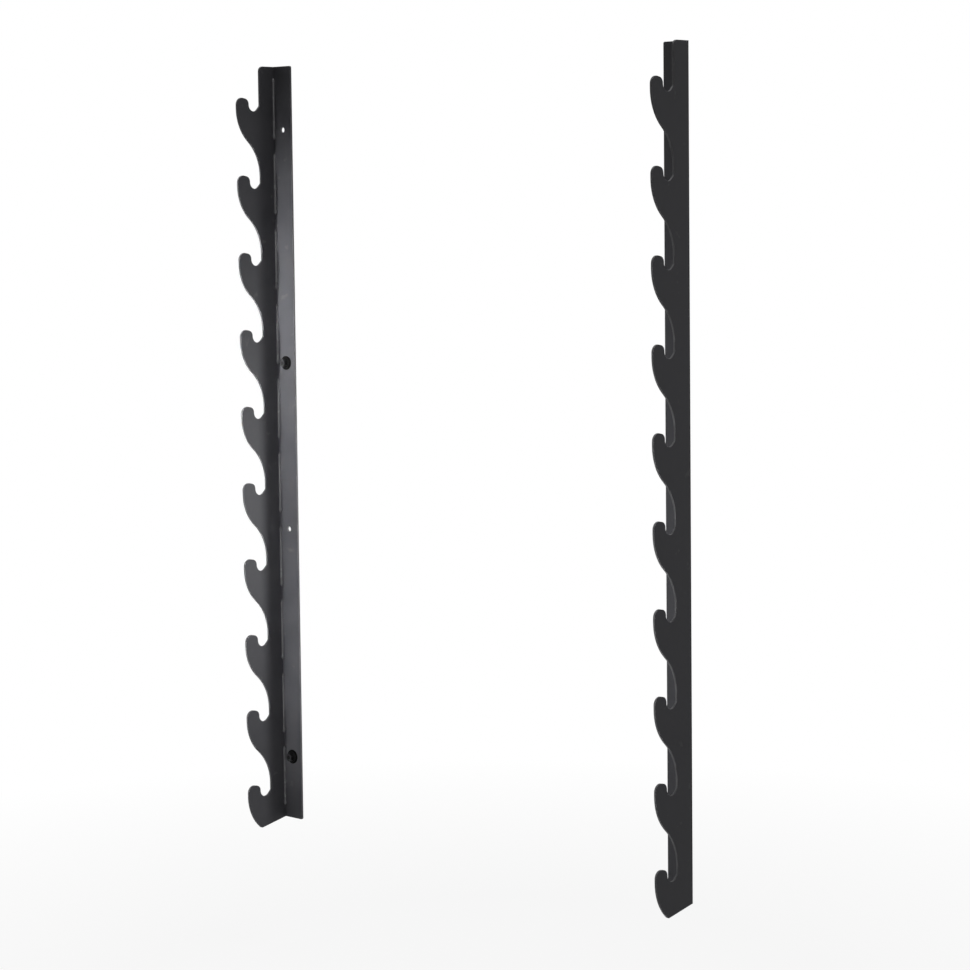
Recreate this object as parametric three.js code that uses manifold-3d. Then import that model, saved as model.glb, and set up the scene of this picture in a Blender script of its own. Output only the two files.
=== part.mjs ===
// Wall-mounted barbell storage rack: two separate steel uprights, a mirrored pair, each with ten hooks.
// Millimetres, +Z up. The wall face is Y = 0 and the hooks reach out along -Y.
// X = 0 is midway between the uprights. Z = 0 is where the foot of a hook plate would come to a point.
// Each upright is a hook plate that stands out from the wall, a flange that lies on the wall,
// a row of stitch welds in their inner corner, and two bolts with large washers.
// One upright is drawn in its own frame: X runs inwards from the outer face of its hook plate.

import * as THREE from "three";
import { mergeVertices } from "three/addons/utils/BufferGeometryUtils.js";
import Module from "manifold-3d";

const wasm = await Module();
wasm.setup();

// Whole rack
const hookCount = 10;
const hookPitch = 187;
const uprightSpacing = 1290; // outer face to outer face, so the plates stand just inside a bar's collars
const plateThickness = 5;
const topMargin = 77; // from the highest hook tip up to the top edge
const bottomMargin = 110; // from the lowest hook tip down to the foot's front corner
const footRise = 16; // how much higher the bottom edge is at the wall than at the foot's front corner

// Hook outline, measured out from the wall and down from the top of the hook's tip
const hookReach = 125; // wall to the front of a hook
const spineDepth = 51; // wall to the front of the straight spine between hooks
const tipWidth = 38.5; // front of a hook to the inner wall of its tip
const noseRadius = 17;
const heelRadius = 13.5;
const heelDrop = 1.5; // top of the heel below the top of the nose
const notchDepth = 32; // top of the tip to the floor of the notch
const notchRadius = 16;
const rampAngle = Math.PI / 4; // the notch's way up to the spine
const rampFillet = 7;
const bellyDrop = 26; // top of the tip to where the front starts to curve back
const bellyRadius = 106;
const throatRadius = 110;
const topCornerRadius = 12;
const footRounding = 4;

// Wall flange and its holes
const flangeWidth = 60;
const flangeCornerRadius = 4;
const endHoleMargin = 154; // end of the flange to its first hole
const outerHoleSpacing = 568; // first hole to second hole, from either end
const holeDiameter = 13;

// Stitch welds in the corner between hook plate and flange
const weldCount = 10;
const weldLength = 150;
const weldLeg = 3.5;
const weldEndMargin = 27; // end of the flange to the near end of the first weld
const weldTaper = 6; // length over which each end of a weld runs out
const weldEndShare = 0.12; // how much of the section is left at the very end of a weld
const weldCrownShare = 0.3; // how far the middle of a weld's face stands out past a flat one

// Wall bolts: hexagon head with its own flange, plain shank up to the wall face
const shankDiameter = 12;
const headWidth = 18; // across flats
const headHeight = 12; // with the flange
const headSides = 6;
const headChamfer = 1.2;
const headFlangeDiameter = 26;
const headFlangeRim = 1.8; // thickness at the flange's edge
const headFlangeSlope = Math.PI / 7; // of the flange's front, up towards the hexagon
const shankShortfall = 0.5; // the modelled shank stops this far before the wall face
const washerDiameter = 34;
const washerThickness = 2.5;
const washerClearance = 0.5; // radial, between washer and shank

// How finely curves are drawn
const arcSteps = 4;
const holeSteps = 24;
const weldSectionSteps = 4;
const weldEndSteps = 3;
const cutOverrun = 1; // how far a cutting tool reaches past each face

// Sizes that follow from the ones above
const rackHeight = topMargin + hookPitch * (hookCount - 1) + bottomMargin;
const flangeBottom = footRise;
const headRadius = headWidth / Math.sqrt(3);
const washerInnerRadius = shankDiameter / 2 + washerClearance;

const powderCoat = new THREE.MeshStandardMaterial({ color: 0x2b2b2f, roughness: 0.55, metalness: 0.25 });
const coatedWeld = new THREE.MeshStandardMaterial({ color: 0x38383c, roughness: 0.45, metalness: 0.3 });
const blackSteel = new THREE.MeshStandardMaterial({ color: 0x161617, roughness: 0.4, metalness: 0.7 });

function toSolid(geometry) {
  const plain = geometry.clone();
  plain.deleteAttribute("normal");
  plain.deleteAttribute("uv");
  const merged = mergeVertices(plain);
  return new wasm.Manifold(
    new wasm.Mesh({
      numProp: 3,
      vertProperties: merged.attributes.position.array,
      triVerts: new Uint32Array(merged.index.array),
    }),
  );
}

function toGeometry(solid) {
  const mesh = solid.getMesh();
  const geometry = new THREE.BufferGeometry();
  geometry.setAttribute("position", new THREE.BufferAttribute(mesh.vertProperties, 3));
  geometry.setIndex(new THREE.BufferAttribute(mesh.triVerts, 1));
  geometry.computeVertexNormals();
  return geometry;
}

// The belly and the throat of a hook are two arcs that meet in one tangent, below the hook's front.
const arcCentresApart = bellyRadius + throatRadius;
const arcCentresAcross = arcCentresApart - (hookReach - spineDepth);
const arcCentresDown = Math.sqrt(arcCentresApart ** 2 - arcCentresAcross ** 2);
const bendAngle = Math.atan2(arcCentresDown, arcCentresAcross);
const throatDrop = bellyDrop + arcCentresDown; // top of the tip to where the throat has become the spine
const bendDrop = bellyDrop + bellyRadius * Math.sin(bendAngle);

// How far a hook's lower front stands out from the wall, at a drop below the top of its tip.
function reachAt(drop) {
  if (drop < bendDrop) {
    return hookReach - bellyRadius + Math.sqrt(bellyRadius ** 2 - (drop - bellyDrop) ** 2);
  }
  const aboveSpine = Math.max(throatDrop - drop, 0);
  return spineDepth + throatRadius - Math.sqrt(throatRadius ** 2 - aboveSpine ** 2);
}

// Height of the top of hook number i's tip, counted from the top.
function tipHeight(i) {
  return rackHeight - topMargin - i * hookPitch;
}

// Continues the outline from a hook's front, over its tip, through its notch and up to the spine.
function traceTip(outline, tip) {
  const nose = { y: noseRadius - hookReach, z: tip - noseRadius };
  const heel = { y: tipWidth - hookReach - heelRadius, z: tip - heelDrop - heelRadius };
  const notch = { y: tipWidth - hookReach + notchRadius, z: tip - notchDepth + notchRadius };
  const apart = Math.hypot(heel.y - nose.y, heel.z - nose.z);
  const crest =
    Math.atan2(heel.z - nose.z, heel.y - nose.y) + Math.acos((noseRadius - heelRadius) / apart);
  outline.lineTo(-hookReach, nose.z);
  outline.absarc(nose.y, nose.z, noseRadius, Math.PI, crest, true);
  outline.absarc(heel.y, heel.z, heelRadius, crest, 0, true);
  outline.absarc(notch.y, notch.z, notchRadius, Math.PI, 2 * Math.PI - rampAngle, false);

  // The ramp leaves the notch in its tangent and meets the spine in a fillet.
  const rampFoot = {
    y: notch.y + notchRadius * Math.cos(rampAngle),
    z: notch.z - notchRadius * Math.sin(rampAngle),
  };
  const rampRise = (-spineDepth - rampFoot.y) * Math.tan(Math.PI / 2 - rampAngle);
  const tangent = rampFillet * Math.tan(rampAngle / 2);
  const fillet = { y: -spineDepth - rampFillet, z: rampFoot.z + rampRise + tangent };
  outline.absarc(fillet.y, fillet.z, rampFillet, -rampAngle, 0, false);
}

// Continues the outline up along the throat and belly of the hook with this tip.
// It takes only what lies above the start, which is a drop below the tip.
function traceUnderside(outline, tip, startDrop) {
  const throat = { y: -spineDepth - throatRadius, z: tip - throatDrop };
  const belly = { y: bellyRadius - hookReach, z: tip - bellyDrop };
  if (startDrop > bendDrop) {
    const throatStart = Math.asin(Math.max(throatDrop - startDrop, 0) / throatRadius);
    outline.absarc(throat.y, throat.z, throatRadius, throatStart, bendAngle, false);
  }
  const bellyStart = Math.asin((Math.min(startDrop, bendDrop) - bellyDrop) / bellyRadius);
  outline.absarc(belly.y, belly.z, bellyRadius, Math.PI + bellyStart, Math.PI, true);
}

// Starts the outline at the wall, runs down the bottom edge and rounds the foot's front corner.
function traceFoot(outline) {
  const reach = reachAt(bottomMargin);
  const edgeLength = Math.hypot(reach, footRise);
  const edgeLeft = (edgeLength - footRounding) / edgeLength;
  outline.moveTo(0, footRise);
  outline.lineTo(-reach * edgeLeft, footRise * (1 - edgeLeft));
  outline.quadraticCurveTo(-reach, 0, -reachAt(bottomMargin - footRounding), footRounding);
}

// Side view of a hook plate, in the Y-Z plane.
function hookPlateOutline() {
  const outline = new THREE.Shape();
  traceFoot(outline);
  let startDrop = bottomMargin - footRounding;
  for (let i = hookCount - 1; i >= 0; i -= 1) {
    traceUnderside(outline, tipHeight(i), startDrop);
    traceTip(outline, tipHeight(i));
    startDrop = throatDrop;
  }
  const corner = { y: topCornerRadius - spineDepth, z: rackHeight - topCornerRadius };
  outline.absarc(corner.y, corner.z, topCornerRadius, Math.PI, Math.PI / 2, true);
  outline.lineTo(0, rackHeight);
  outline.closePath();
  return outline;
}

function hookPlateGeometry() {
  const geometry = new THREE.ExtrudeGeometry(hookPlateOutline(), {
    depth: plateThickness,
    bevelEnabled: false,
    curveSegments: arcSteps,
  });
  // The outline's two directions become Y and Z, and its thickness becomes X.
  const turn = new THREE.Matrix4().makeBasis(
    new THREE.Vector3(0, 1, 0),
    new THREE.Vector3(0, 0, 1),
    new THREE.Vector3(1, 0, 0),
  );
  return geometry.applyMatrix4(turn);
}

// Heights of the flange's holes: two from the top end, and the same two from the bottom end.
function holeHeights() {
  const fromEnd = [endHoleMargin, endHoleMargin + outerHoleSpacing];
  const upper = fromEnd.map((distance) => rackHeight - distance);
  const lower = fromEnd.map((distance) => flangeBottom + distance);
  return { topOpen: upper[0], topBolt: upper[1], lowOpen: lower[1], lowBolt: lower[0] };
}

const holeInset = plateThickness + flangeWidth / 2; // outer face of the hook plate to the holes' centres

// Front view of a flange, in the X-Z plane. Its free edge has rounded corners.
function flangeOutline() {
  const inner = plateThickness;
  const free = plateThickness + flangeWidth;
  const r = flangeCornerRadius;
  const outline = new THREE.Shape();
  outline.moveTo(inner, flangeBottom);
  outline.lineTo(free - r, flangeBottom);
  outline.absarc(free - r, flangeBottom + r, r, -Math.PI / 2, 0, false);
  outline.absarc(free - r, rackHeight - r, r, 0, Math.PI / 2, false);
  outline.lineTo(inner, rackHeight);
  outline.closePath();
  return outline;
}

function flangeGeometry() {
  const strip = new THREE.ExtrudeGeometry(flangeOutline(), {
    depth: plateThickness,
    bevelEnabled: false,
    curveSegments: arcSteps,
  });
  // The outline's two directions become X and Z, and its thickness becomes -Y, off the wall.
  const turn = new THREE.Matrix4().makeBasis(
    new THREE.Vector3(1, 0, 0),
    new THREE.Vector3(0, 0, 1),
    new THREE.Vector3(0, -1, 0),
  );
  let solid = toSolid(strip.applyMatrix4(turn));
  for (const height of Object.values(holeHeights())) {
    const radius = holeDiameter / 2;
    const drill = new THREE.CylinderGeometry(radius, radius, plateThickness + 2 * cutOverrun, holeSteps);
    drill.translate(holeInset, -plateThickness / 2, height);
    solid = solid.subtract(toSolid(drill));
  }
  return toGeometry(solid);
}

// Section of a fillet weld in its corner: two equal legs and a slightly crowned face.
function weldSection() {
  const section = [new THREE.Vector2(0, 0)];
  for (let step = 0; step <= weldSectionSteps; step += 1) {
    const share = step / weldSectionSteps;
    const crown = 1 + weldCrownShare * Math.sin(Math.PI * share) ** 2;
    section.push(new THREE.Vector2(weldLeg * (1 - share) * crown, -weldLeg * share * crown));
  }
  return section;
}

// A weld is its section, drawn along Z and run out to almost nothing at both ends.
function weldGeometry() {
  const section = weldSection();
  const stations = [];
  for (let step = 0; step <= weldEndSteps; step += 1) {
    const share = step / weldEndSteps;
    const full = Math.sin((Math.PI / 2) * share);
    const size = weldEndShare + (1 - weldEndShare) * full;
    stations.push({ z: weldTaper * share - weldLength / 2, size });
  }
  const mirrored = stations.map((station) => ({ z: -station.z, size: station.size })).reverse();
  const rings = [...stations, ...mirrored];
  const positions = [];
  for (const ring of rings) {
    for (const point of section) positions.push(point.x * ring.size, point.y * ring.size, ring.z);
  }
  const n = section.length;
  const faces = [];
  for (let ring = 0; ring < rings.length - 1; ring += 1) {
    for (let i = 0; i < n; i += 1) {
      const a = ring * n + i;
      const b = ring * n + ((i + 1) % n);
      faces.push(a, a + n, b, b, a + n, b + n);
    }
  }
  const last = (rings.length - 1) * n;
  for (let i = 1; i < n - 1; i += 1) {
    faces.push(0, i, i + 1);
    faces.push(last, last + i + 1, last + i);
  }
  const geometry = new THREE.BufferGeometry();
  geometry.setAttribute("position", new THREE.Float32BufferAttribute(positions, 3));
  geometry.setIndex(faces);
  geometry.computeVertexNormals();
  return geometry;
}

// Middles of the welds, spread evenly between the two end margins.
function weldHeights() {
  const lowest = flangeBottom + weldEndMargin + weldLength / 2;
  const highest = rackHeight - weldEndMargin - weldLength / 2;
  const heights = [];
  for (let i = 0; i < weldCount; i += 1) {
    heights.push(highest - ((highest - lowest) * i) / (weldCount - 1));
  }
  return heights;
}

// A washer round the Y axis, with its back on Y = 0.
function washerGeometry() {
  const outer = washerDiameter / 2;
  const profile = [
    new THREE.Vector2(washerInnerRadius, -washerThickness),
    new THREE.Vector2(outer, -washerThickness),
    new THREE.Vector2(outer, 0),
    new THREE.Vector2(washerInnerRadius, 0),
    new THREE.Vector2(washerInnerRadius, -washerThickness),
  ];
  return new THREE.LatheGeometry(profile, holeSteps);
}

// The round flange under a bolt's head, with its back on Y = 0.
function headFlangeGeometry() {
  const outer = headFlangeDiameter / 2;
  const inner = headWidth / 2;
  const top = headFlangeRim + (outer - inner) * Math.tan(headFlangeSlope);
  const profile = [
    new THREE.Vector2(0, -top),
    new THREE.Vector2(inner, -top),
    new THREE.Vector2(outer, -headFlangeRim),
    new THREE.Vector2(outer, 0),
    new THREE.Vector2(0, 0),
  ];
  return new THREE.LatheGeometry(profile, holeSteps);
}

// A hexagon flange bolt along the Y axis. Its head sits in front of Y = 0 and its shank runs behind it.
function boltGeometry() {
  const shankLength = washerThickness + plateThickness - shankShortfall;
  const head = new THREE.CylinderGeometry(headRadius, headRadius, headHeight, headSides);
  head.translate(0, -headHeight / 2, 0);
  const rim = headWidth / 2;
  const chamfered = new THREE.LatheGeometry(
    [
      new THREE.Vector2(0, -headHeight),
      new THREE.Vector2(rim - headChamfer / 2, -headHeight),
      new THREE.Vector2(headRadius, headChamfer - headHeight),
      new THREE.Vector2(headRadius, 0),
      new THREE.Vector2(0, 0),
    ],
    holeSteps,
  );
  const shank = new THREE.CylinderGeometry(
    shankDiameter / 2,
    shankDiameter / 2,
    shankLength + headHeight / 2,
    holeSteps,
  );
  shank.translate(0, (shankLength - headHeight / 2) / 2, 0);
  const hexagon = toSolid(head).intersect(toSolid(chamfered));
  return toGeometry(hexagon.add(toSolid(headFlangeGeometry())).add(toSolid(shank)));
}

function namedMesh(name, geometry, material) {
  const mesh = new THREE.Mesh(geometry, material);
  mesh.name = name;
  return mesh;
}

const shapes = {
  hookPlate: hookPlateGeometry(),
  flange: flangeGeometry(),
  weld: weldGeometry(),
  washer: washerGeometry(),
  bolt: boltGeometry(),
};

// One bolt and its washer, with the washer's back on the front face of the flange.
function fastener(side, place, height) {
  const group = new THREE.Group();
  group.position.set(holeInset, -plateThickness, height);
  const bolt = namedMesh(`${side}_${place}_bolt`, shapes.bolt, blackSteel);
  bolt.position.y = -washerThickness;
  group.add(namedMesh(`${side}_${place}_washer`, shapes.washer, blackSteel), bolt);
  return group;
}

function upright(side) {
  const group = new THREE.Group();
  group.add(namedMesh(`${side}_hook_plate`, shapes.hookPlate, powderCoat));
  group.add(namedMesh(`${side}_wall_flange`, shapes.flange, powderCoat));
  weldHeights().forEach((height, i) => {
    const weld = namedMesh(`${side}_stitch_weld_${i + 1}`, shapes.weld, coatedWeld);
    weld.position.set(plateThickness, -plateThickness, height);
    group.add(weld);
  });
  const holes = holeHeights();
  group.add(fastener(side, "upper", holes.topBolt));
  group.add(fastener(side, "lower", holes.lowBolt));
  return group;
}

const left = upright("left");
left.position.x = -uprightSpacing / 2;

const right = upright("right");
right.position.x = uprightSpacing / 2;
right.scale.x = -1;

const rack = new THREE.Group();
rack.name = "barbell_storage_rack";
rack.add(left, right);

export default rack;
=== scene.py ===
"""Looks of a wall-mounted barbell storage rack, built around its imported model.

Two steel uprights, each with a laser-cut hook plate, a wall flange, stitch welds and two bolts with
washers. Everything is in metres: +Z up, the wall face at Y = 0, the hooks along -Y and X = 0 midway
between the uprights.
"""

import math
import random

import bpy
from mathutils import Euler, Matrix, Vector
from mathutils.geometry import tessellate_polygon


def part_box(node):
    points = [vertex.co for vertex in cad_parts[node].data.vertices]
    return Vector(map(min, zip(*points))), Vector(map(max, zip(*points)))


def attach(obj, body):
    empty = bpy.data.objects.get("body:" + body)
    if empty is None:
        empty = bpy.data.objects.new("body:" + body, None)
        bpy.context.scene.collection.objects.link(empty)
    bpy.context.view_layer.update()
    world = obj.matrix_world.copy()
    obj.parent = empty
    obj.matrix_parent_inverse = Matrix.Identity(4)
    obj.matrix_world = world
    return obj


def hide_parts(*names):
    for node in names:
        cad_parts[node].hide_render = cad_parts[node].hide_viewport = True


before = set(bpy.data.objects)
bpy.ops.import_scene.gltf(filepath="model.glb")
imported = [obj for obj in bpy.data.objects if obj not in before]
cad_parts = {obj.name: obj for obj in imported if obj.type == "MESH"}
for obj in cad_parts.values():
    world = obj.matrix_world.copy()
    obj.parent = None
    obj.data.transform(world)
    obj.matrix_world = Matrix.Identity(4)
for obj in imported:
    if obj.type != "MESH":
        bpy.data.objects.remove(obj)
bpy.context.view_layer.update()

SIDES = {"left": 1, "right": -1}  # the way from a hook plate to its flange, along X
PLACES = ("upper", "lower")

# Hook outline, measured out from the wall and down from the top of a hook's tip
HOOK_COUNT = 10
HOOK_PITCH = 0.187
TOP_MARGIN = 0.077
BOTTOM_MARGIN = 0.110
FOOT_RISE = 0.016
FOOT_ROUNDING = 0.004
HOOK_REACH = 0.125
SPINE_DEPTH = 0.051
TIP_WIDTH = 0.0385
NOSE_RADIUS = 0.017
HEEL_RADIUS = 0.0135
HEEL_DROP = 0.0015
NOTCH_DEPTH = 0.032
NOTCH_RADIUS = 0.016
RAMP_ANGLE = math.radians(45)
RAMP_FILLET = 0.007
BELLY_DROP = 0.026
BELLY_RADIUS = 0.106
THROAT_RADIUS = 0.110
TOP_CORNER_RADIUS = 0.012

FLANGE_CORNER_RADIUS = 0.004
HOLE_RADIUS = 0.0065
END_HOLE_MARGIN = 0.154
OUTER_HOLE_SPACING = 0.568

# Finish of the cut steel
EDGE_ROUNDING = 0.0006
EDGE_STEPS = 3
SIDE_WEAR_AND_HIGHLIGHT = 0.6  # lighter colour of the cut sides, partly wear and partly painted highlight, where 1 is that of the rounded edges
ARC_STEP = math.radians(5)
HOLE_SIDES = 48

# Weld bead. Shares are parts of its leg.
WELD_STEP = 0.0006
WELD_SECTION_STEPS = 8
WELD_CROWN_SHARE = 0.45
RIPPLE_PITCH = 0.0042
RIPPLE_SHARE = 0.07
RIPPLE_LAG_SHARE = 0.6
CRATER_LENGTH = 0.016
CRATER_SHARE = 0.30
WANDER_SHARE = 0.07
WANDER_SPACINGS = (0.009, 0.021, 0.047)
TAPER_SHARE = 1.6  # how long its thin ends are
END_SHARE = 0.08  # how thick it is at its very ends

# Bolts and washers
HEXAGON_TURN = math.pi / 3
HEAD_WIDTH = 0.018  # across flats
HEAD_FLANGE_RADIUS = 0.013
HEAD_FLANGE_RIM = 0.0018
HEAD_FLANGE_SLOPE = math.pi / 7
HEAD_CHAMFER_ANGLE = math.radians(30)
HEAD_COLUMNS = 72
HEAD_EDGE = 0.0004
DIMPLE_RADIUS = 0.0048
DIMPLE_DEPTH = 0.0008
SHANK_RADIUS = 0.006
WASHER_HOLE_RADIUS = 0.0065
WASHER_ROUNDING = 0.0005
WASHER_EDGE_STEPS = 4
WASHER_SIDES = 96

# Finishes. Noise scales are in cells for each metre, and grain is how high the noise stands out.
MOTTLE_SCALE = 9
SPOT_SCALE = 34
SPOT_STRENGTH = 0.22
PEEL_SCALE = 650
PEEL_GRAIN = 0.0003
COAT_ROUGHNESS_SPREAD = 0.05
PATCH_SCALE = 420
PATCH_GRAIN = 0.0001
PATCH_STRENGTH = 0.15
STEEL_ROUGHNESS_SPREAD = 0.08


def tip_height(number):
    """Height of the top of hook number's tip, counted from the top."""
    return HOOK_PITCH * (HOOK_COUNT - 1 - number) + BOTTOM_MARGIN


RACK_HEIGHT = tip_height(0) + TOP_MARGIN
PLATE_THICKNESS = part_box("left_hook_plate")[1][0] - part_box("left_hook_plate")[0][0]


# Outlines


def arc(centre, radius, start, end):
    """Points along an arc from one angle to another, both ends included."""
    count = max(2, math.ceil(abs(end - start) / ARC_STEP))
    points = []
    for i in range(count + 1):
        angle = start + (end - start) * i / count
        points.append((centre[0] + radius * math.cos(angle), centre[1] + radius * math.sin(angle)))
    return points


def without_doubles(points, least=1e-6):
    """The same closed outline without points that repeat the one before."""
    kept = []
    for point in points:
        if not kept or math.dist(point, kept[-1]) > least:
            kept.append(point)
    if math.dist(kept[0], kept[-1]) <= least:
        kept.pop()
    return kept


# The belly and the throat of a hook are two arcs that meet in one tangent.
CENTRES_APART = BELLY_RADIUS + THROAT_RADIUS
CENTRES_ACROSS = CENTRES_APART - (HOOK_REACH - SPINE_DEPTH)
CENTRES_DOWN = math.sqrt(CENTRES_APART**2 - CENTRES_ACROSS**2)
BEND_ANGLE = math.atan2(CENTRES_DOWN, CENTRES_ACROSS)
THROAT_DROP = BELLY_DROP + CENTRES_DOWN
BEND_DROP = BELLY_DROP + BELLY_RADIUS * math.sin(BEND_ANGLE)


def reach_at(drop):
    """How far a hook's lower front stands out from the wall, at a drop below the top of its tip."""
    if drop < BEND_DROP:
        return HOOK_REACH - BELLY_RADIUS + math.sqrt(BELLY_RADIUS**2 - (drop - BELLY_DROP) ** 2)
    above_spine = max(THROAT_DROP - drop, 0)
    return SPINE_DEPTH + THROAT_RADIUS - math.sqrt(THROAT_RADIUS**2 - above_spine**2)


def trace_underside(tip, start_drop):
    """Up along the throat and belly below one tip, from a drop below it."""
    throat = (-SPINE_DEPTH - THROAT_RADIUS, tip - THROAT_DROP)
    belly = (BELLY_RADIUS - HOOK_REACH, tip - BELLY_DROP)
    points = []
    if start_drop > BEND_DROP:
        throat_start = math.asin(max(THROAT_DROP - start_drop, 0) / THROAT_RADIUS)
        points += arc(throat, THROAT_RADIUS, throat_start, BEND_ANGLE)
    belly_start = math.asin((min(start_drop, BEND_DROP) - BELLY_DROP) / BELLY_RADIUS)
    points += arc(belly, BELLY_RADIUS, math.pi + belly_start, math.pi)
    return points


def trace_tip(tip):
    """From a hook's front over its tip, through its notch and up the ramp to the spine."""
    nose = (NOSE_RADIUS - HOOK_REACH, tip - NOSE_RADIUS)
    heel = (TIP_WIDTH - HOOK_REACH - HEEL_RADIUS, tip - HEEL_DROP - HEEL_RADIUS)
    notch = (TIP_WIDTH - HOOK_REACH + NOTCH_RADIUS, tip - NOTCH_DEPTH + NOTCH_RADIUS)
    lean = math.atan2(heel[1] - nose[1], heel[0] - nose[0])
    crest = lean + math.acos((NOSE_RADIUS - HEEL_RADIUS) / math.dist(nose, heel))
    points = arc(nose, NOSE_RADIUS, math.pi, crest)
    points += arc(heel, HEEL_RADIUS, crest, 0)
    points += arc(notch, NOTCH_RADIUS, math.pi, 2 * math.pi - RAMP_ANGLE)

    ramp_foot = points[-1]
    ramp_rise = (-SPINE_DEPTH - ramp_foot[0]) * math.tan(math.pi / 2 - RAMP_ANGLE)
    tangent = RAMP_FILLET * math.tan(RAMP_ANGLE / 2)
    fillet = (-SPINE_DEPTH - RAMP_FILLET, ramp_foot[1] + ramp_rise + tangent)
    points += arc(fillet, RAMP_FILLET, -RAMP_ANGLE, 0)
    return points


def trace_foot():
    """From the wall down the sloping bottom edge and round the foot's front corner."""
    reach = reach_at(BOTTOM_MARGIN)
    edge_length = math.hypot(reach, FOOT_RISE)
    left = (edge_length - FOOT_ROUNDING) / edge_length
    start = Vector((-reach * left, FOOT_RISE * (1 - left)))
    corner = Vector((-reach, 0))
    end = Vector((-reach_at(BOTTOM_MARGIN - FOOT_ROUNDING), FOOT_ROUNDING))
    points = [(0, FOOT_RISE)]
    curve_steps = 8
    for i in range(curve_steps + 1):
        t = i / curve_steps
        points.append(tuple(start * (1 - t) ** 2 + corner * 2 * t * (1 - t) + end * t**2))
    return points


def hook_plate_outline():
    """Side view of a hook plate, in the Y-Z plane."""
    points = trace_foot()
    start_drop = BOTTOM_MARGIN - FOOT_ROUNDING
    for number in reversed(range(HOOK_COUNT)):
        points += trace_underside(tip_height(number), start_drop)
        points += trace_tip(tip_height(number))
        start_drop = THROAT_DROP
    corner = (TOP_CORNER_RADIUS - SPINE_DEPTH, RACK_HEIGHT - TOP_CORNER_RADIUS)
    points += arc(corner, TOP_CORNER_RADIUS, math.pi, math.pi / 2)
    points.append((0, RACK_HEIGHT))
    return without_doubles(points)


def flange_outline(low, high):
    """Front view of a flange, out from the hook plate. Its free edge has rounded corners."""
    r = FLANGE_CORNER_RADIUS
    width = high[0]
    points = [(0, low[1])]
    points += arc((width - r, low[1] + r), r, -math.pi / 2, 0)
    points += arc((width - r, high[1] - r), r, 0, math.pi / 2)
    points.append((0, high[1]))
    return without_doubles(points)


def circle(centre, radius, sides):
    points = []
    for i in range(sides):
        angle = 2 * math.pi * i / sides
        points.append((centre[0] + radius * math.cos(angle), centre[1] + radius * math.sin(angle)))
    return points


# Meshes


def signed_area(points):
    return sum(a[0] * b[1] - b[0] * a[1] for a, b in zip(points, points[1:] + points[:1])) / 2


def inset_loop(points, distance, is_hole):
    """The loop moved into the material by a distance, with mitred corners."""
    turn = 1 if (signed_area(points) > 0) != is_hole else -1
    least_cosine = 0.2  # keeps the point of a sharp corner from running far
    moved = []
    count = len(points)
    for i, point in enumerate(points):
        before = Vector(point) - Vector(points[i - 1])
        after = Vector(points[(i + 1) % count]) - Vector(point)
        normals = [Vector((-edge.y, edge.x)).normalized() * turn for edge in (before, after)]
        middle = (normals[0] + normals[1]).normalized()
        moved.append(Vector(point) + middle * distance / max(middle.dot(normals[0]), least_cosine))
    return moved


def new_object(name, vertices, faces, material, sharp_from, smooth=None):
    """A mesh object with its place in its vertices.

    Edges are sharp from an angle on. smooth, which marks each face as smooth or flat, is set after
    that, because marking the edges makes every face smooth.
    """
    mesh = bpy.data.meshes.new(name)
    mesh.from_pydata(vertices, [], faces)
    mesh.validate()
    mesh.update()
    mesh.set_sharp_from_angle(angle=sharp_from)
    if smooth is not None:
        mesh.polygons.foreach_set("use_smooth", smooth)
    mesh.materials.append(material)
    obj = bpy.data.objects.new(name, mesh)
    bpy.context.scene.collection.objects.link(obj)
    return obj


def edge_profile(thickness):
    """Inset and depth of each ring round a plate's edge, from one flat face to the other."""
    profile = []
    for step in range(EDGE_STEPS + 1):
        angle = math.pi / 2 * step / EDGE_STEPS
        profile.append((EDGE_ROUNDING * (1 - math.sin(angle)), EDGE_ROUNDING * (1 - math.cos(angle))))
    return profile + [(inset, thickness - depth) for inset, depth in reversed(profile)]


def ring_wear_and_highlight(ring, ring_count):
    """Lighter colour of one ring of a plate's edge, partly rubbed wear and partly painted highlight:
    none at the flat faces, some on the cut side between.
    """
    if ring in (0, ring_count - 1):
        return 0.0
    if ring in (ring_count // 2 - 1, ring_count // 2):
        return SIDE_WEAR_AND_HIGHLIGHT
    return 1.0


def fill_loops(loops):
    """Anticlockwise triangles between an outline and its holes, as indices into all their points."""
    flat = []
    for loop, is_hole in loops:
        flat.append([point.to_3d() for point in inset_loop(loop, EDGE_ROUNDING, is_hole)])
    points = [point for loop in flat for point in loop]
    triangles = []
    for triangle in tessellate_polygon(flat):
        a, b, c = (points[i] for i in triangle)
        anticlockwise = (b - a).cross(c - a).z > 0
        triangles.append(triangle if anticlockwise else triangle[::-1])
    return triangles


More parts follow.
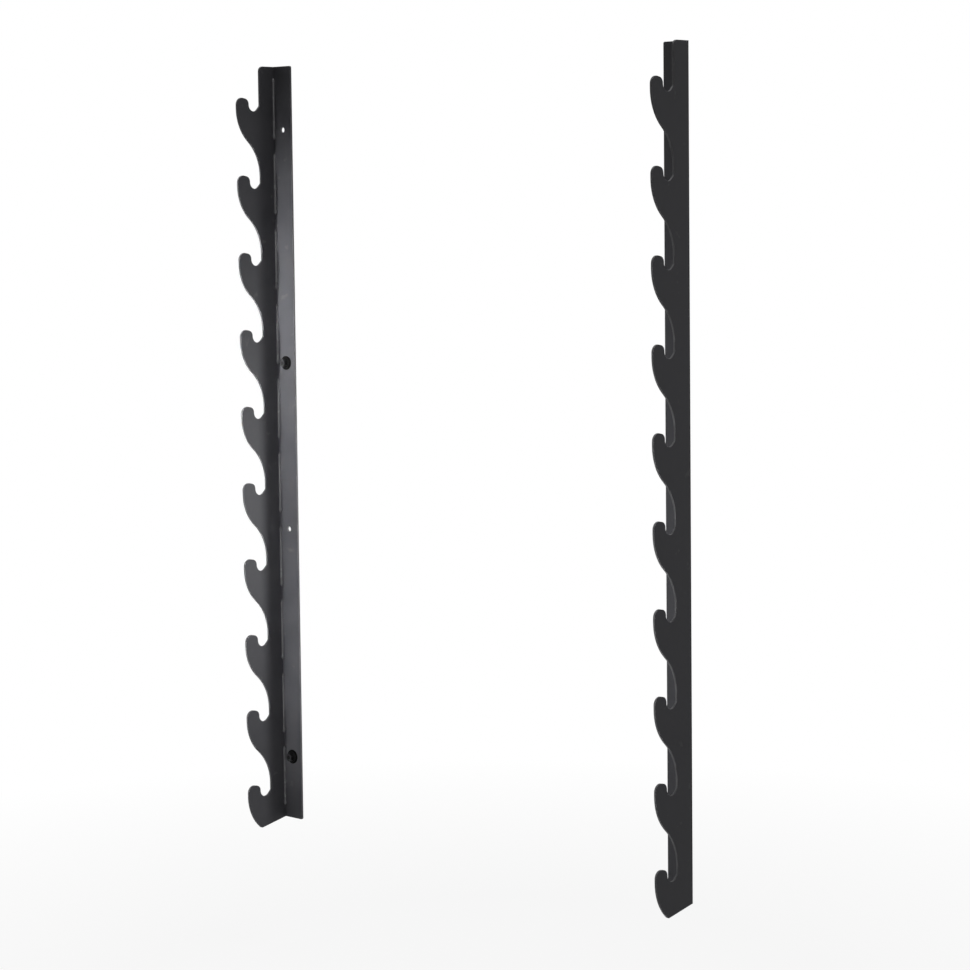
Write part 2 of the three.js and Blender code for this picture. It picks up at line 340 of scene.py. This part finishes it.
def rounded_plate(name, outline, holes, thickness, place, material, mirrored):
    """A flat plate with rounded edges. place turns (u, v, depth) into a point in metres."""
    profile = edge_profile(thickness)
    vertices = []
    faces = []
    smooth = []
    wear_and_highlight = []
    cap_indices = ([], [])
    loops = [(outline, False)] + [(hole, True) for hole in holes]
    for loop, is_hole in loops:
        outward = (signed_area(loop) > 0) != is_hole
        start = len(vertices)
        count = len(loop)
        for ring, (inset, depth) in enumerate(profile):
            vertices += [place(p.x, p.y, depth) for p in inset_loop(loop, inset, is_hole)]
            # lighter edge colour for each ring: partly rubbed wear, partly painted highlight
            wear_and_highlight += [ring_wear_and_highlight(ring, len(profile))] * count
        for ring in range(len(profile) - 1):
            for i in range(count):
                a = start + ring * count + i
                b = start + ring * count + (i + 1) % count
                quad = (a, b, b + count, a + count)
                faces.append(quad if outward != mirrored else quad[::-1])
                smooth.append(True)
        last_ring = start + (len(profile) - 1) * count
        cap_indices[0].extend(range(start, start + count))
        cap_indices[1].extend(range(last_ring, last_ring + count))

    triangles = fill_loops(loops)
    for indices, is_first in zip(cap_indices, (True, False)):
        for triangle in triangles:
            face = [indices[i] for i in triangle]
            faces.append(face[::-1] if is_first != mirrored else face)
            smooth.append(False)
    obj = new_object(name, vertices, faces, material, sharp_from=math.radians(40), smooth=smooth)
    set_wear_and_highlight(obj, wear_and_highlight)
    return obj


def set_wear_and_highlight(obj, values):
    """How much lighter each vertex is coloured, from 0 to 1, for the materials to read: partly rubbed
    wear, partly painted highlight.
    """
    attribute = obj.data.attributes.new("edge_wear_and_highlight", "FLOAT", "POINT")
    attribute.data.foreach_set("value", values)


def revolve(name, profile, sides, centre, material):
    """A closed profile of (radius, distance along -Y), turned round an axis along Y."""
    vertices = []
    for radius, out in profile:
        for i in range(sides):
            angle = 2 * math.pi * i / sides
            vertices.append(centre + Vector((radius * math.cos(angle), -out, radius * math.sin(angle))))
    faces = []
    for ring in range(len(profile)):
        for i in range(sides):
            a = ring * sides + i
            b = ring * sides + (i + 1) % sides
            after = ((ring + 1) % len(profile)) * sides
            faces.append((a, b, after + (i + 1) % sides, after + i))
    return new_object(name, vertices, faces, material, sharp_from=math.radians(50))


# Pieces


def make_hook_plate(side, inward, material):
    node = f"{side}_hook_plate"
    low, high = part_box(node)
    outer = low.x if inward > 0 else high.x

    def place(u, v, depth):
        return Vector((outer + inward * depth, u, v))

    outline = hook_plate_outline()
    obj = rounded_plate(f"{node}_cut", outline, [], PLATE_THICKNESS, place, material, inward < 0)
    return finish_piece(obj, node)


def hole_heights(low, high):
    return (
        high - END_HOLE_MARGIN,
        high - END_HOLE_MARGIN - OUTER_HOLE_SPACING,
        low + END_HOLE_MARGIN + OUTER_HOLE_SPACING,
        low + END_HOLE_MARGIN,
    )


def make_flange(side, inward, material):
    node = f"{side}_wall_flange"
    low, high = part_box(node)
    start = low.x if inward > 0 else high.x
    width = high.x - low.x
    outline = flange_outline((0, low.z), (width, high.z))
    holes = [circle((width / 2, z), HOLE_RADIUS, HOLE_SIDES) for z in hole_heights(low.z, high.z)]

    def place(u, v, depth):
        return Vector((start + inward * u, -depth, v))

    thickness = high.y - low.y
    obj = rounded_plate(f"{node}_bar", outline, holes, thickness, place, material, inward < 0)
    return finish_piece(obj, node)


def make_weld(side, inward, number, material, rng):
    """A fillet bead with ripples along it and a fuller crater at each end."""
    node = f"{side}_stitch_weld_{number}"
    low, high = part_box(node)
    leg = high.y - low.y
    corner_x = low.x if inward > 0 else high.x
    length = high.z - low.z
    stations = math.ceil(length / WELD_STEP)
    phases = [rng.uniform(0, 2 * math.pi) for _ in WANDER_SPACINGS]

    def leg_at(z):
        waves = [math.sin(z / spacing + phase) for spacing, phase in zip(WANDER_SPACINGS, phases)]
        wander = WANDER_SHARE * sum(waves) / len(waves)
        from_end = min(z, length - z)
        taper = min(1.0, (from_end / (leg * TAPER_SHARE)) ** 0.5)
        past_crater = (from_end - CRATER_LENGTH / 2) / (CRATER_LENGTH / 3)
        crater = CRATER_SHARE * math.exp(-(past_crater**2))
        return leg * (1 + wander + crater) * max(taper, END_SHARE)

    vertices = []
    for station in range(stations + 1):
        z = length * station / stations
        size = leg_at(z)
        vertices.append(Vector((corner_x, high.y, low.z + z)))
        for step in range(WELD_SECTION_STEPS + 1):
            share = step / WELD_SECTION_STEPS
            arch = math.sin(math.pi * share)
            phase = (z - RIPPLE_LAG_SHARE * leg * arch) / RIPPLE_PITCH
            ripple = RIPPLE_SHARE * arch * (abs(math.sin(math.pi * phase)) - 0.5)
            crown = 1 + WELD_CROWN_SHARE * arch**2 + ripple
            x = corner_x + inward * size * (1 - share) * crown
            y = high.y - size * share * crown
            vertices.append(Vector((x, y, low.z + z)))
    count = WELD_SECTION_STEPS + 2
    faces = []
    for station in range(stations):
        for i in range(count):
            a = station * count + i
            b = station * count + (i + 1) % count
            quad = (a, b, b + count, a + count)
            faces.append(quad if inward < 0 else quad[::-1])
    first = tuple(range(count))
    last = tuple(stations * count + i for i in first)
    faces.append(first[::-1] if inward < 0 else first)
    faces.append(last if inward < 0 else last[::-1])
    obj = new_object(f"{node}_bead", vertices, faces, material, sharp_from=math.radians(50))
    return finish_piece(obj, node)


def make_washer(side, place, material):
    node = f"{side}_{place}_washer"
    low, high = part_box(node)
    outer = (high.z - low.z) / 2
    thickness = high.y - low.y
    r = WASHER_ROUNDING
    centre = Vector(((low.x + high.x) / 2, high.y, (low.z + high.z) / 2))
    front_r = 2 * r
    profile = [(WASHER_HOLE_RADIUS, 0), (outer - r / 2, 0), (outer, r / 2), (outer, thickness - front_r)]
    for i in range(1, WASHER_EDGE_STEPS + 1):
        angle = math.pi / 2 / WASHER_EDGE_STEPS * i
        inset = front_r * (1 - math.cos(angle))
        profile.append((outer - inset, thickness - front_r * (1 - math.sin(angle))))
    profile += [(WASHER_HOLE_RADIUS + r, thickness), (WASHER_HOLE_RADIUS, thickness - r)]
    obj = revolve(f"{node}_ring", profile, WASHER_SIDES, centre, material)
    return finish_piece(obj, node)


def make_bolt(side, place, material, turn):
    """A hexagon flange bolt whose head has the curved chamfer that turning leaves on its flats."""
    node = f"{side}_{place}_bolt"
    low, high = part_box(node)
    washer_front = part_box(f"{side}_{place}_washer")[0].y
    head_height = washer_front - low.y
    shank_length = high.y - washer_front
    centre = Vector(((low.x + high.x) / 2, washer_front, (low.z + high.z) / 2))
    rim = HEAD_WIDTH / 2 - HEAD_EDGE

    def hexagon(angle):
        sector = (angle - turn) % HEXAGON_TURN - HEXAGON_TURN / 2
        return HEAD_WIDTH / 2 / math.cos(sector)

    def cone_out(angle):
        return HEAD_FLANGE_RIM + (HEAD_FLANGE_RADIUS - hexagon(angle)) * math.tan(HEAD_FLANGE_SLOPE)

    def chamfer_out(angle):
        return head_height - (hexagon(angle) - rim) * math.tan(HEAD_CHAMFER_ANGLE)

    # Radius, distance along -Y from the washer, and how much lighter the colour is there, partly rubbed
    # wear and partly a painted highlight on the front face and edges. The first two can change round the
    # head.
    rings = [
        (SHANK_RADIUS - 2 * HEAD_EDGE, -shank_length, 0),
        (SHANK_RADIUS, 2 * HEAD_EDGE - shank_length, 0),
        (SHANK_RADIUS, 0, 0),
        (HEAD_FLANGE_RADIUS - HEAD_EDGE, 0, 0),
        (HEAD_FLANGE_RADIUS, HEAD_EDGE, 0.2),
        (HEAD_FLANGE_RADIUS, HEAD_FLANGE_RIM - HEAD_EDGE, 0.3),
        (HEAD_FLANGE_RADIUS - HEAD_EDGE, HEAD_FLANGE_RIM + HEAD_EDGE / 4, 0.1),
        (hexagon, cone_out, 0),
        (hexagon, chamfer_out, 0.4),
        (rim, head_height - HEAD_EDGE / 4, 1),
        (rim - HEAD_EDGE, head_height, 1),
        (DIMPLE_RADIUS + DIMPLE_DEPTH / 4, head_height, 1),
        (DIMPLE_RADIUS, head_height - DIMPLE_DEPTH / 4, 0.8),
        (DIMPLE_RADIUS - DIMPLE_DEPTH / 4, head_height - DIMPLE_DEPTH, 0.3),
        (DIMPLE_RADIUS / 3, head_height - DIMPLE_DEPTH, 0.3),
    ]
    vertices = []
    wear_and_highlight = []
    for radius, out, lightening in rings:
        for i in range(HEAD_COLUMNS):
            angle = 2 * math.pi * i / HEAD_COLUMNS + turn
            r = radius(angle) if callable(radius) else radius
            y = -(out(angle) if callable(out) else out)
            vertices.append(centre + Vector((r * math.cos(angle), y, r * math.sin(angle))))
            wear_and_highlight.append(lightening)
    count = HEAD_COLUMNS
    faces = [tuple(range(count))]
    for level in range(len(rings) - 1):
        for i in range(count):
            a = level * count + i
            b = level * count + (i + 1) % count
            faces.append((b, a, a + count, b + count))
    faces.append(tuple((len(rings) - 1) * count + i for i in reversed(range(count))))
    obj = new_object(f"{node}_hexagon", vertices, faces, material, sharp_from=math.radians(24))
    set_wear_and_highlight(obj, wear_and_highlight)
    return finish_piece(obj, node)


def finish_piece(obj, node):
    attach(obj, "root")
    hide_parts(node)
    return obj


# Materials


def new_material(name):
    material = bpy.data.materials.new(name)
    material.use_nodes = True
    nodes = material.node_tree.nodes
    return material, nodes, material.node_tree.links, nodes["Principled BSDF"]


def add_noise(nodes, links, coordinates, scale, detail):
    noise = nodes.new("ShaderNodeTexNoise")
    noise.inputs["Scale"].default_value = scale
    noise.inputs["Detail"].default_value = detail
    links.new(coordinates.outputs["Object"], noise.inputs["Vector"])
    return noise


def add_range(nodes, links, source, low, high, from_low=0.3, from_high=0.7):
    spread = nodes.new("ShaderNodeMapRange")
    spread.inputs["From Min"].default_value = from_low
    spread.inputs["From Max"].default_value = from_high
    spread.inputs["To Min"].default_value = low
    spread.inputs["To Max"].default_value = high
    links.new(source, spread.inputs["Value"])
    return spread


def add_mix(nodes, links, factor, first, second):
    """A colour mix. first and second are colours or sockets."""
    mix = nodes.new("ShaderNodeMix")
    mix.data_type = "RGBA"
    links.new(factor, mix.inputs["Factor"])
    first_colour, second_colour, mixed_colour = mix.inputs[6], mix.inputs[7], mix.outputs[2]
    for socket, value in ((first_colour, first), (second_colour, second)):
        if isinstance(value, tuple):
            socket.default_value = (*value, 1)
        else:
            links.new(value, socket)
    return mixed_colour


def add_bump(nodes, links, height, shader, strength, distance):
    bump = nodes.new("ShaderNodeBump")
    bump.inputs["Strength"].default_value = strength
    bump.inputs["Distance"].default_value = distance
    links.new(height, bump.inputs["Height"])
    links.new(bump.outputs["Normal"], shader.inputs["Normal"])


def powder_coat_material(name, dark, light, worn_and_highlight, roughness, specular, peel_strength):
    """Satin black powder coat: fine orange peel, slow mottling, a few rubbed spots, and lighter edges
    that are partly rubbed wear and partly painted highlight.
    """
    material, nodes, links, shader = new_material(name)
    coordinates = nodes.new("ShaderNodeTexCoord")
    mottle = add_noise(nodes, links, coordinates, MOTTLE_SCALE, detail=5)
    cloud = add_range(nodes, links, mottle.outputs["Fac"], 0, 1)
    colour = add_mix(nodes, links, cloud.outputs["Result"], dark, light)

    lightening = add_noise(nodes, links, coordinates, SPOT_SCALE, detail=6)
    spots = add_range(
        nodes, links, lightening.outputs["Fac"], 0, SPOT_STRENGTH, from_low=0.66, from_high=0.74
    )
    colour = add_mix(nodes, links, spots.outputs["Result"], colour, worn_and_highlight)

    # Lighter edges: partly rubbed wear, partly a painted highlight along the cut edges and their
    # rounding.
    wear_and_highlight = nodes.new("ShaderNodeAttribute")
    wear_and_highlight.attribute_name = "edge_wear_and_highlight"
    patchy = add_range(nodes, links, lightening.outputs["Fac"], 0.5, 1)
    worn_and_highlight_here = nodes.new("ShaderNodeMath")
    worn_and_highlight_here.operation = "MULTIPLY"
    links.new(wear_and_highlight.outputs["Fac"], worn_and_highlight_here.inputs[0])
    links.new(patchy.outputs["Result"], worn_and_highlight_here.inputs[1])
    colour = add_mix(nodes, links, worn_and_highlight_here.outputs["Value"], colour, worn_and_highlight)
    links.new(colour, shader.inputs["Base Color"])

    least, most = roughness - COAT_ROUGHNESS_SPREAD, roughness + COAT_ROUGHNESS_SPREAD
    rough = add_range(nodes, links, mottle.outputs["Fac"], least, most)
    links.new(rough.outputs["Result"], shader.inputs["Roughness"])
    shader.inputs["Specular IOR Level"].default_value = specular

    peel = add_noise(nodes, links, coordinates, PEEL_SCALE, detail=2)
    add_bump(nodes, links, peel.outputs["Fac"], shader, peel_strength, PEEL_GRAIN)
    return material


def black_steel_material(name, dark, light, worn_and_highlight, roughness, specular):
    """Blackened steel: matt and very dark, with fine patches, and lighter faces and edges that are
    partly rubbed wear and partly painted highlight.
    """
    material, nodes, links, shader = new_material(name)
    coordinates = nodes.new("ShaderNodeTexCoord")
    lightening = add_noise(nodes, links, coordinates, PATCH_SCALE, detail=5)
    patch = add_range(nodes, links, lightening.outputs["Fac"], 0, 1, from_low=0.4, from_high=0.75)
    colour = add_mix(nodes, links, patch.outputs["Result"], dark, light)
    # Lighter where the edge attribute says: partly rubbed wear, partly painted highlight.
    wear_and_highlight = nodes.new("ShaderNodeAttribute")
    wear_and_highlight.attribute_name = "edge_wear_and_highlight"
    colour = add_mix(nodes, links, wear_and_highlight.outputs["Fac"], colour, worn_and_highlight)
    links.new(colour, shader.inputs["Base Color"])
    least, most = roughness - STEEL_ROUGHNESS_SPREAD, roughness + STEEL_ROUGHNESS_SPREAD
    rough = add_range(nodes, links, lightening.outputs["Fac"], most, least)
    links.new(rough.outputs["Result"], shader.inputs["Roughness"])
    shader.inputs["Specular IOR Level"].default_value = specular
    add_bump(nodes, links, lightening.outputs["Fac"], shader, PATCH_STRENGTH, PATCH_GRAIN)
    return material


# Stage


def make_floor():
    """A pale floor below the rack. Further off, cameras and reflections see it fade to plain white."""
    size = 14.0
    drop = 0.30
    white_near = 0.90
    fade_start = 0.9
    fade_end = 2.6
    mesh = bpy.data.meshes.new("floor")
    corners = [(-size, -size), (size, -size), (size, size), (-size, size)]
    mesh.from_pydata([(x, y, -drop) for x, y in corners], [], [(0, 1, 2, 3)])
    material, nodes, links, shader = new_material("pale_floor")
    shader.inputs["Base Color"].default_value = (0.86, 0.86, 0.86, 1)
    shader.inputs["Roughness"].default_value = 0.9
    shader.inputs["Specular IOR Level"].default_value = 0.1
    geometry = nodes.new("ShaderNodeNewGeometry")
    distance = nodes.new("ShaderNodeVectorMath")
    distance.operation = "LENGTH"
    links.new(geometry.outputs["Position"], distance.inputs[0])
    fade = add_range(nodes, links, distance.outputs["Value"], white_near, 1, fade_start, fade_end)
    path = nodes.new("ShaderNodeLightPath")
    seen = nodes.new("ShaderNodeMath")
    seen.operation = "MAXIMUM"
    links.new(path.outputs["Is Camera Ray"], seen.inputs[0])
    links.new(path.outputs["Is Glossy Ray"], seen.inputs[1])
    factor = nodes.new("ShaderNodeMath")
    factor.operation = "MULTIPLY"
    links.new(fade.outputs["Result"], factor.inputs[0])
    links.new(seen.outputs["Value"], factor.inputs[1])
    white = nodes.new("ShaderNodeEmission")
    mix = nodes.new("ShaderNodeMixShader")
    links.new(factor.outputs["Value"], mix.inputs["Fac"])
    links.new(shader.outputs["BSDF"], mix.inputs[1])
    links.new(white.outputs["Emission"], mix.inputs[2])
    links.new(mix.outputs["Shader"], nodes["Material Output"].inputs["Surface"])
    mesh.materials.append(material)
    floor = bpy.data.objects.new("floor", mesh)
    bpy.context.scene.collection.objects.link(floor)


def make_world(ambient):
    """White for what the camera and reflections see, and a plain grey for the light it gives."""
    world = bpy.data.worlds.new("studio")
    world.use_nodes = True
    nodes, links = world.node_tree.nodes, world.node_tree.links
    background = nodes["Background"]
    background.inputs["Color"].default_value = (1, 1, 1, 1)
    path = nodes.new("ShaderNodeLightPath")
    seen = path.outputs["Is Camera Ray"]
    for name in ("Is Glossy Ray", "Is Transmission Ray"):
        either = nodes.new("ShaderNodeMath")
        either.operation = "MAXIMUM"
        links.new(seen, either.inputs[0])
        links.new(path.outputs[name], either.inputs[1])
        seen = either.outputs["Value"]
    strength = nodes.new("ShaderNodeMapRange")
    strength.inputs["To Min"].default_value = ambient
    strength.inputs["To Max"].default_value = 1
    links.new(seen, strength.inputs["Value"])
    links.new(strength.outputs["Result"], background.inputs["Strength"])
    bpy.context.scene.world = world


def make_lamp(name, place, target, width, height, level, spread):
    """A soft rectangular lamp behind a grid. level is how bright it makes a white face at its target."""
    place, target = Vector(place), Vector(target)
    away = (target - place).length
    half_spread = spread / 2
    reach = away * math.tan(half_spread)  # radius of the beam of one point of the lamp, at its target
    parts = 8  # of the lamp each way, to average over
    shares = [i / parts - 0.5 for i in range(parts + 1)]
    passed = [max(0, 1 - math.hypot(u * width, v * height) / reach) for u in shares for v in shares]
    narrowing = math.tan(half_spread) / (math.tan(half_spread) - half_spread)
    grid_gain = narrowing * sum(passed) / len(passed)
    data = bpy.data.lights.new(name, "AREA")
    data.shape = "RECTANGLE"
    data.size = width
    data.size_y = height
    data.spread = spread
    data.energy = level * math.pi**2 * away**2 / grid_gain
    lamp = bpy.data.objects.new(name, data)
    lamp.location = place
    lamp.rotation_euler = (target - place).to_track_quat("-Z", "Y").to_euler()
    lamp.visible_camera = False
    bpy.context.scene.collection.objects.link(lamp)


def make_camera(place, yaw, pitch, roll, focal_pixels, centre_row):
    """The photograph's camera. Its frame is 970 pixels wide and high."""
    frame_pixels = 970
    data = bpy.data.cameras.new("camera")
    data.sensor_width = 36
    data.lens = focal_pixels / frame_pixels * data.sensor_width
    data.shift_y = centre_row / frame_pixels - 0.5
    camera = bpy.data.objects.new("camera", data)
    turn = Euler((math.pi / 2 + pitch, 0, yaw)).to_matrix() @ Matrix.Rotation(-roll, 3, "Z")
    camera.rotation_euler = turn.to_euler()
    camera.location = place
    bpy.context.scene.collection.objects.link(camera)
    bpy.context.scene.camera = camera


make_camera(
    place=(4.140, -4.420, 1.524),
    yaw=math.radians(42.795),
    pitch=math.radians(-4.332),
    roll=math.radians(0.622),
    focal_pixels=2641.5,
    centre_row=407,
)
make_world(ambient=0.04)
make_floor()
make_lamp(
    "upper_key",
    place=(-1.02, -4.85, 1.20),
    target=(-0.62, 0, 1.241),
    width=0.50,
    height=0.3,
    level=1.65,
    spread=math.radians(12),
)
make_lamp(
    "lower_key",
    place=(-1.02, -4.85, 0.60),
    target=(-0.62, 0, 0.54),
    width=0.50,
    height=0.4,
    level=0.77,
    spread=math.radians(13),
)
make_lamp(
    "right_key",
    place=(0.15, -4.85, 0.50),
    target=(0.62, 0, 0.74),
    width=0.30,
    height=0.5,
    level=0.38,
    spread=math.radians(24),
)
make_lamp(
    "front_fill",
    place=(1.8, -4.6, 0.7),
    target=(-0.64, 0, 0.80),
    width=0.8,
    height=0.8,
    level=0.30,
    spread=math.radians(20),
)
make_lamp(
    "side_fill",
    place=(3.9, -0.6, 1.30),
    target=(0.64, 0, 1.10),
    width=0.8,
    height=0.8,
    level=0.07,
    spread=math.radians(50),
)
make_lamp(
    "back_fill",
    place=(0.5, 0.95, 0.78),
    target=(-0.64, -0.1, 0.72),
    width=0.45,
    height=0.9,
    level=0.54,
    spread=math.radians(70),
)
make_lamp(
    "top_fill",
    place=(0, 0, 5.0),
    target=(0, 0, 0.9),
    width=2.4,
    height=1.6,
    level=0.35,
    spread=math.radians(90),
)

coat = powder_coat_material(
    "satin_powder_coat",
    dark=(0.070, 0.070, 0.078),
    light=(0.092, 0.092, 0.100),
    worn_and_highlight=(0.24, 0.24, 0.245),
    roughness=0.46,
    specular=0.16,
    peel_strength=0.10,
)
# The weld's coat is coloured lighter than the plates' coat: a painted highlight along the fold between
# plate and flange.
weld_coat_with_painted_highlight = powder_coat_material(
    "coated_weld_painted_highlight",
    dark=(0.120, 0.120, 0.128),
    light=(0.150, 0.150, 0.158),
    worn_and_highlight=(0.24, 0.24, 0.245),
    roughness=0.26,
    specular=0.60,
    peel_strength=0.10,
)
bolt_black = black_steel_material(
    "blackened_bolt",
    dark=(0.003, 0.003, 0.003),
    light=(0.008, 0.008, 0.009),
    worn_and_highlight=(0.045, 0.045, 0.047),
    roughness=0.45,
    specular=0.04,
)
washer_black = black_steel_material(
    "blackened_washer",
    dark=(0.002, 0.002, 0.002),
    light=(0.006, 0.006, 0.006),
    worn_and_highlight=(0.020, 0.020, 0.021),
    roughness=0.55,
    specular=0.02,
)

rng = random.Random(7)
for side, inward in SIDES.items():
    make_hook_plate(side, inward, coat)
    make_flange(side, inward, coat)
    for number in range(1, HOOK_COUNT + 1):
        make_weld(side, inward, number, weld_coat_with_painted_highlight, rng)
    for place in PLACES:
        make_washer(side, place, washer_black)
        make_bolt(side, place, bolt_black, rng.uniform(0, HEXAGON_TURN))

scene = bpy.context.scene
scene.view_settings.view_transform = "Standard"
